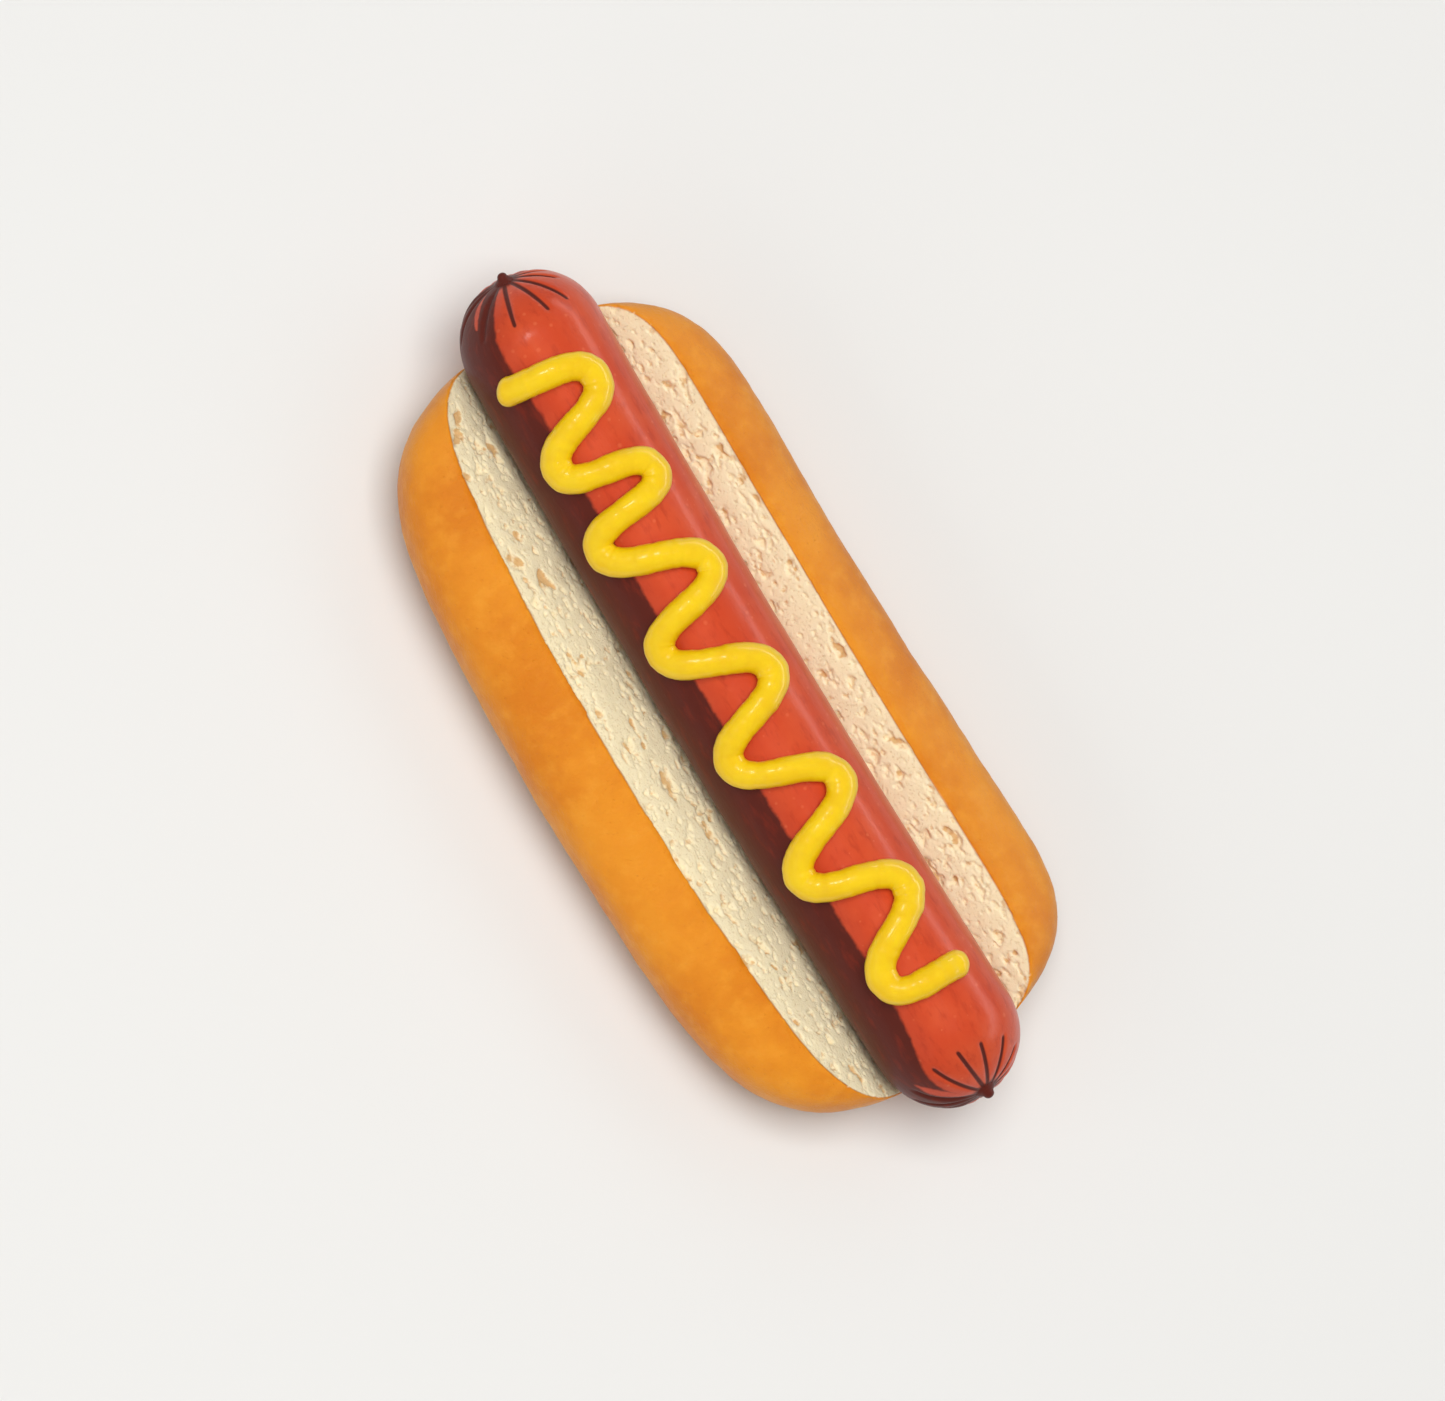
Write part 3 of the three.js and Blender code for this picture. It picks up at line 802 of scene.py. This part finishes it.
def round_casing(tree, given, place):
    """Where a place on the unrolled casing comes to lie on the bent one."""
    along, arc, high = (tree.axis(place, name) for name in "XYZ")
    around = arc / given["Casing Radius"]
    out = given["Casing Radius"] + given["Gap"] + high
    bent = (along / given["Half Length"]).math("POWER", 2.0)
    inputs = {
        "X": along,
        "Y": given["Axis Y"] + given["Sway"] * bent + out * around.math("SINE"),
        "Z": given["Axis Z"] + given["Lift"] * bent + out * around.math("COSINE"),
    }
    return tree.node("ShaderNodeCombineXYZ", inputs=inputs)


def squeezed_bead():
    """A rounded bead swept along a flat path, then wrapped round the bent casing."""
    group, tree, given = new_geometry_tree("Squeezed Bead", [*BEAD_INPUTS, *CASING_FORM, "Seed"])
    place = tree.node("GeometryNodeInputPosition")
    radius = given["Width"] * 0.5
    sweep = {
        "Curve": bead_line(tree, given, radius),
        "Profile Curve": bead_section(tree, given, place),
        "Scale": tree.recalled("girth") * radius,
        "Fill Caps": True,
    }
    bead = tree.node("GeometryNodeCurveToMesh", inputs=sweep)
    laid = {"Geometry": bead, "Position": round_casing(tree, given, place)}
    bead = tree.node("GeometryNodeSetPosition", inputs=laid)
    ripple = (tree.noise(place, 3.5 * MM, 2.0, seed=given["Seed"]) - 0.5) * given["Ripple"]
    return finish_tree(group, tree, tree.lifted(bead, ripple), given["Material"])


def mustard_material(mustard):
    """Smooth yellow mustard, glossy, with a faint grain."""

    def fill(tree):
        place = tree.place()
        cloud = tree.noise(place, 5 * MM, 3.0, 0.6)
        grain = tree.noise(place, 0.5 * MM, 3.0, 0.6)
        color = tree.mix(tree.ease(cloud, 0.35, 0.7, 0.0, 0.6), mustard.color, mustard.deep_color)
        specks = tree.bowls(place, 1.1 * MM, 0.12)
        color = tree.mix(specks * 0.5, color, mustard.deep_color)
        return {
            "Base Color": color,
            "Roughness": 0.28 + 0.1 * grain,
            "Normal": tree.bump(grain, 0.03 * MM),
        }

    constants = {
        "Specular IOR Level": 0.35,
        "Subsurface Weight": 0.15,
        "Subsurface Radius": (1.0, 0.7, 0.15),
        "Subsurface Scale": 1.0 * MM,
        "Coat Weight": 0.3,
        "Coat Roughness": 0.1,
    }
    return new_material("mustard", fill, constants)


# ------------------------------------------------------------------ stage

FLOOR_HALF = 3.0
SKY_STRENGTH = 0.3
SENSOR_WIDTH = 36.0
CLIP_START, CLIP_END = 0.05, 10.0

# Area lights: name, place and size in metres, power in watts, and the rays that don't see it. The first
# three light the hot dog evenly, and the others give its gloss.
LIGHTS = (
    ("overhead", (-0.05, -0.07, 1.35), (0.7, 0.7), 14.4, "visible_glossy"),
    ("fill", (0.0, -1.1, 0.7), (1.6, 0.5), 2.8, "visible_glossy"),
    ("side", (0.0, 0.9, 1.0), (1.6, 0.5), 1.6, "visible_glossy"),
    ("strip", (0.0, 1.1, 0.5), (3.0, 0.16), 9.0, "visible_diffuse"),
    ("window", (-0.5, -0.3, 1.0), (0.22, 0.22), 2.0, "visible_diffuse"),
)


def add_floor(tint):
    """A plain matt floor at z = 0."""
    corners = FLOOR_HALF * np.array([(-1, -1, 0), (1, -1, 0), (1, 1, 0), (-1, 1, 0)])
    floor = new_object("floor", new_mesh("floor", corners, [(0, 1, 2, 3)], {}))

    def fill(tree):
        return {"Roughness": 0.7 + 0.1 * tree.noise(tree.place(), 0.5 * MM)}

    floor.data.materials.append(new_material("floor", fill, {"Base Color": (*tint, 1.0)}))


def add_sky(scene):
    """An even white sky."""
    world = bpy.data.worlds.new("studio")
    world.use_nodes = True
    background = world.node_tree.nodes["Background"]
    background.inputs["Color"].default_value = (1.0, 1.0, 1.0, 1.0)
    background.inputs["Strength"].default_value = SKY_STRENGTH
    scene.world = world


def add_light(name, place, size, power, unseen_by):
    """An area light that faces the hot dog."""
    data = bpy.data.lights.new(name, "AREA")
    data.shape = "RECTANGLE"
    data.size, data.size_y = size
    data.energy = power
    light = new_object(name, data)
    turned = (-Vector(place)).to_track_quat("-Z", "Y").to_matrix().to_4x4()
    light.matrix_world = Matrix.Translation(place) @ turned
    setattr(light, unseen_by, False)


def add_camera(scene, stage):
    """A camera that looks down on the hot dog, tilted to its -Y side and rolled."""
    data = bpy.data.cameras.new("camera")
    data.sensor_width = SENSOR_WIDTH
    data.lens = data.sensor_width * stage.distance / stage.view_width
    data.clip_start, data.clip_end = CLIP_START, CLIP_END
    along = Vector((1, 0, 0))
    across = Vector((0, math.cos(stage.tilt), math.sin(stage.tilt)))
    back = along.cross(across)
    right = along * math.cos(stage.roll) + across * math.sin(stage.roll)
    up = across * math.cos(stage.roll) - along * math.sin(stage.roll)
    aim = Vector((0, AXIS_Y, AXIS_Z)) + along * stage.shift_along + across * stage.shift_across
    camera = new_object("camera", data)
    turned = Matrix((right, up, back)).transposed().to_4x4()
    camera.matrix_world = Matrix.Translation(aim + back * stage.distance) @ turned
    scene.camera = camera


# ------------------------------------------------------------------ settings


def length_property(name, description, millimetres):
    kind = {"unit": "LENGTH", "precision": 5}
    return FloatProperty(name=name, description=description, default=millimetres * MM, **kind)


def angle_property(name, description, degrees):
    default = math.radians(degrees)
    return FloatProperty(name=name, description=description, default=default, subtype="ANGLE")


def color_property(name, description, *display):
    default = srgb(*display)
    return FloatVectorProperty(name=name, description=description, default=default, subtype="COLOR")


class BreadSettings(bpy.types.PropertyGroup):
    """Sizes and colours of the bread"""

    step: length_property("Mesh Step", "Size of the crust's mesh; the crumb's is a quarter of it", 1.08)
    crust: length_property("Crust", "Depth to which the bread is browned", 0.5)
    swell: length_property("Swell", "Height of the loaf's gentle unevenness", 0.8)
    wrinkle: length_property("Wrinkle", "Height of the crust's wrinkles", 0.5)
    large_pores: length_property("Large Pores", "Size of the pattern of the crumb's large pores", 2.6)
    small_pores: length_property("Small Pores", "Size of the pattern of the crumb's small pores", 1.1)
    pore_depth: length_property("Pore Depth", "Depth of the crumb's deepest pores", 0.8)
    tear: length_property("Tear", "Height of the crumb's unevenness", 0.4)
    crust_color: color_property("Crust", "Golden crust", 229, 146, 34)
    toast_color: color_property("Toast", "Crust where it is browner", 214, 124, 22)
    pale_color: color_property("Pale Crust", "Crust where it is paler", 238, 166, 58)
    crumb_color: color_property("Crumb", "Cut bread", 250, 234, 196)
    # Painted shade at the bottom of the crumb's pores.
    pore_shade_color: color_property("Pores", "Bottom of the crumb's pores", 220, 178, 120)


class FrankfurterSettings(bpy.types.PropertyGroup):
    """Sizes and colours of the frankfurter"""

    crease_depth: length_property("Crease Depth", "Depth of the creases at the knots", 0.8)
    crease_width: length_property("Crease Width", "Half the width of the creases", 0.52)
    knot: length_property("Knot", "Half the width of the knot at each tip", 0.95)
    swell: length_property("Swell", "Unevenness of the girth", 0.5)
    wrinkle: length_property("Wrinkle", "Height of the casing's wrinkles", 0.1)
    # Edges of the browned flank, which is painted shade along the -Y side, coloured as browning.
    sear_shade_top: angle_property("Sear Top", "Upper edge of the browned flank, round from the top", -37.5)
    sear_shade_bottom: angle_property("Sear Bottom", "Lower edge of the browned flank, round from the top", -140)
    casing_color: color_property("Casing", "Cooked casing", 199, 69, 35)
    light_color: color_property("Light Casing", "Casing where it is lighter", 206, 79, 42)
    deep_color: color_property("Deep Casing", "Casing where it is darker", 166, 47, 22)
    fleck_color: color_property("Flecks", "Pale flecks under the casing", 224, 118, 76)
    # The dark colour of the painted shade on the browned flank and in the creases.
    sear_and_shade_color: color_property("Browned", "Browned flank and creases", 88, 30, 20)


class MustardSettings(bpy.types.PropertyGroup):
    """Sizes and colours of the mustard"""

    width: length_property("Width", "Width of the bead", 4.95)
    height: length_property("Height", "Height of the bead", 4.2)
    gap: length_property("Gap", "Gap between the bead and the casing", -0.05)
    pulse: FloatProperty(name="Pulse", description="Slow unevenness of the bead's girth", default=0.2)
    beat: FloatProperty(name="Beat", description="Quick unevenness of the bead's girth", default=0.16)
    ripple: length_property("Ripple", "Height of the bead's ripples", 0.3)
    step: length_property("Mesh Step", "Distance between the bead's sections", 0.35)
    turn: length_property("Turn", "How far each turn runs on along the frankfurter", 5.9)
    end_lean: FloatProperty(name="End Lean", description="How straight the bead's ends run", default=0.4)
    color: color_property("Mustard", "Mustard", 239, 200, 14)
    deep_color: color_property("Deep Mustard", "Mustard where it is deeper", 230, 182, 6)


class StageSettings(bpy.types.PropertyGroup):
    """The camera's place and the floor's colour"""

    tilt: angle_property("Camera Tilt", "Angle of the camera from straight down", 15)
    roll: angle_property("Camera Roll", "How far the hot dog is turned clockwise in the view", 59.2)
    distance: length_property("Distance", "Distance of the camera", 1250)
    view_width: length_property("View Width", "Width of the view at the frankfurter", 249.7)
    shift_along: length_property("Shift Along", "Middle of the view along the hot dog", 0.27)
    shift_across: length_property("Shift Across", "Middle of the view across the hot dog", -2.65)
    floor_color: color_property("Floor", "Plain floor", 228, 227, 224)


# ------------------------------------------------------------------ operators


class HOTDOG_OT_bread(bpy.types.Operator):
    """Bakes the roll: crust relief, cut crumb and their material"""

    bl_idname = "hotdog.bread"
    bl_label = "Bread"

    def execute(self, context):
        bread = context.scene.hotdog_bread
        material = bread_material(bread)
        dough = new_object("bread_dough", bread_mesh(bread))
        values = {**setting_values(bread, BREAD_INPUTS), "Seed": BREAD_SEED, "Material": material}
        add_tree(dough, bread_relief(), values)
        add_piece("bread", settled(dough), material, "bun")
        return {"FINISHED"}


class HOTDOG_OT_frankfurter(bpy.types.Operator):
    """Makes the frankfurter: a casing gathered to a knot at each end, with painted shade coloured as browning
    along one flank
    """

    bl_idname = "hotdog.frankfurter"
    bl_label = "Frankfurter"

    def execute(self, context):
        sausage = context.scene.hotdog_frankfurter
        material = casing_material(sausage)
        blank = new_object("casing_blank", casing_mesh(sausage))
        values = {**setting_values(sausage, CASING_INPUTS), "Seed": CASING_SEED, "Material": material}
        add_tree(blank, casing_relief(), values)
        add_piece("frankfurter", settled(blank), material, "sausage")
        return {"FINISHED"}


class HOTDOG_OT_mustard(bpy.types.Operator):
    """Squeezes the mustard along the frankfurter"""

    bl_idname = "hotdog.mustard"
    bl_label = "Mustard"

    def execute(self, context):
        mustard = context.scene.hotdog_mustard
        material = mustard_material(mustard)
        path = bead_path(mustard)
        values = {**setting_values(mustard, BEAD_INPUTS), **CASING_FORM}
        values.update({"Seed": BEAD_SEED, "Material": material})
        add_tree(path, squeezed_bead(), values)
        add_piece("mustard_bead", settled(path), material, "mustard")
        return {"FINISHED"}


class HOTDOG_OT_stage(bpy.types.Operator):
    """Sets the plain floor, the soft lights and the camera"""

    bl_idname = "hotdog.stage"
    bl_label = "Stage"

    def execute(self, context):
        scene = context.scene
        stage = scene.hotdog_stage
        add_floor(stage.floor_color)
        add_sky(scene)
        scene.view_settings.view_transform = "Standard"
        for light in LIGHTS:
            add_light(*light)
        add_camera(scene, stage)
        return {"FINISHED"}


class HOTDOG_PT_sidebar(bpy.types.Panel):
    """Lists what the hot dog is made of"""

    bl_idname = "HOTDOG_PT_sidebar"
    bl_label = "Hot Dog"
    bl_space_type = "VIEW_3D"
    bl_region_type = "UI"
    bl_category = "Hot Dog"

    def draw(self, context):
        for operator, name, settings in PARTS:
            box = self.layout.box()
            box.operator(operator.bl_idname)
            for key in settings.__annotations__:
                box.prop(getattr(context.scene, name), key)


PARTS = (
    (HOTDOG_OT_stage, "hotdog_stage", StageSettings),
    (HOTDOG_OT_bread, "hotdog_bread", BreadSettings),
    (HOTDOG_OT_frankfurter, "hotdog_frankfurter", FrankfurterSettings),
    (HOTDOG_OT_mustard, "hotdog_mustard", MustardSettings),
)


def register():
    for operator, name, settings in PARTS:
        bpy.utils.register_class(settings)
        setattr(bpy.types.Scene, name, PointerProperty(type=settings))
        bpy.utils.register_class(operator)
    bpy.utils.register_class(HOTDOG_PT_sidebar)


def unregister():
    bpy.utils.unregister_class(HOTDOG_PT_sidebar)
    for operator, name, settings in reversed(PARTS):
        bpy.utils.unregister_class(operator)
        delattr(bpy.types.Scene, name)
        bpy.utils.unregister_class(settings)


def main():
    """Builds the stage and the hot dog."""
    register()
    bpy.ops.hotdog.stage()
    bpy.ops.hotdog.bread()
    bpy.ops.hotdog.frankfurter()
    bpy.ops.hotdog.mustard()


if __name__ == "__main__":
    main()
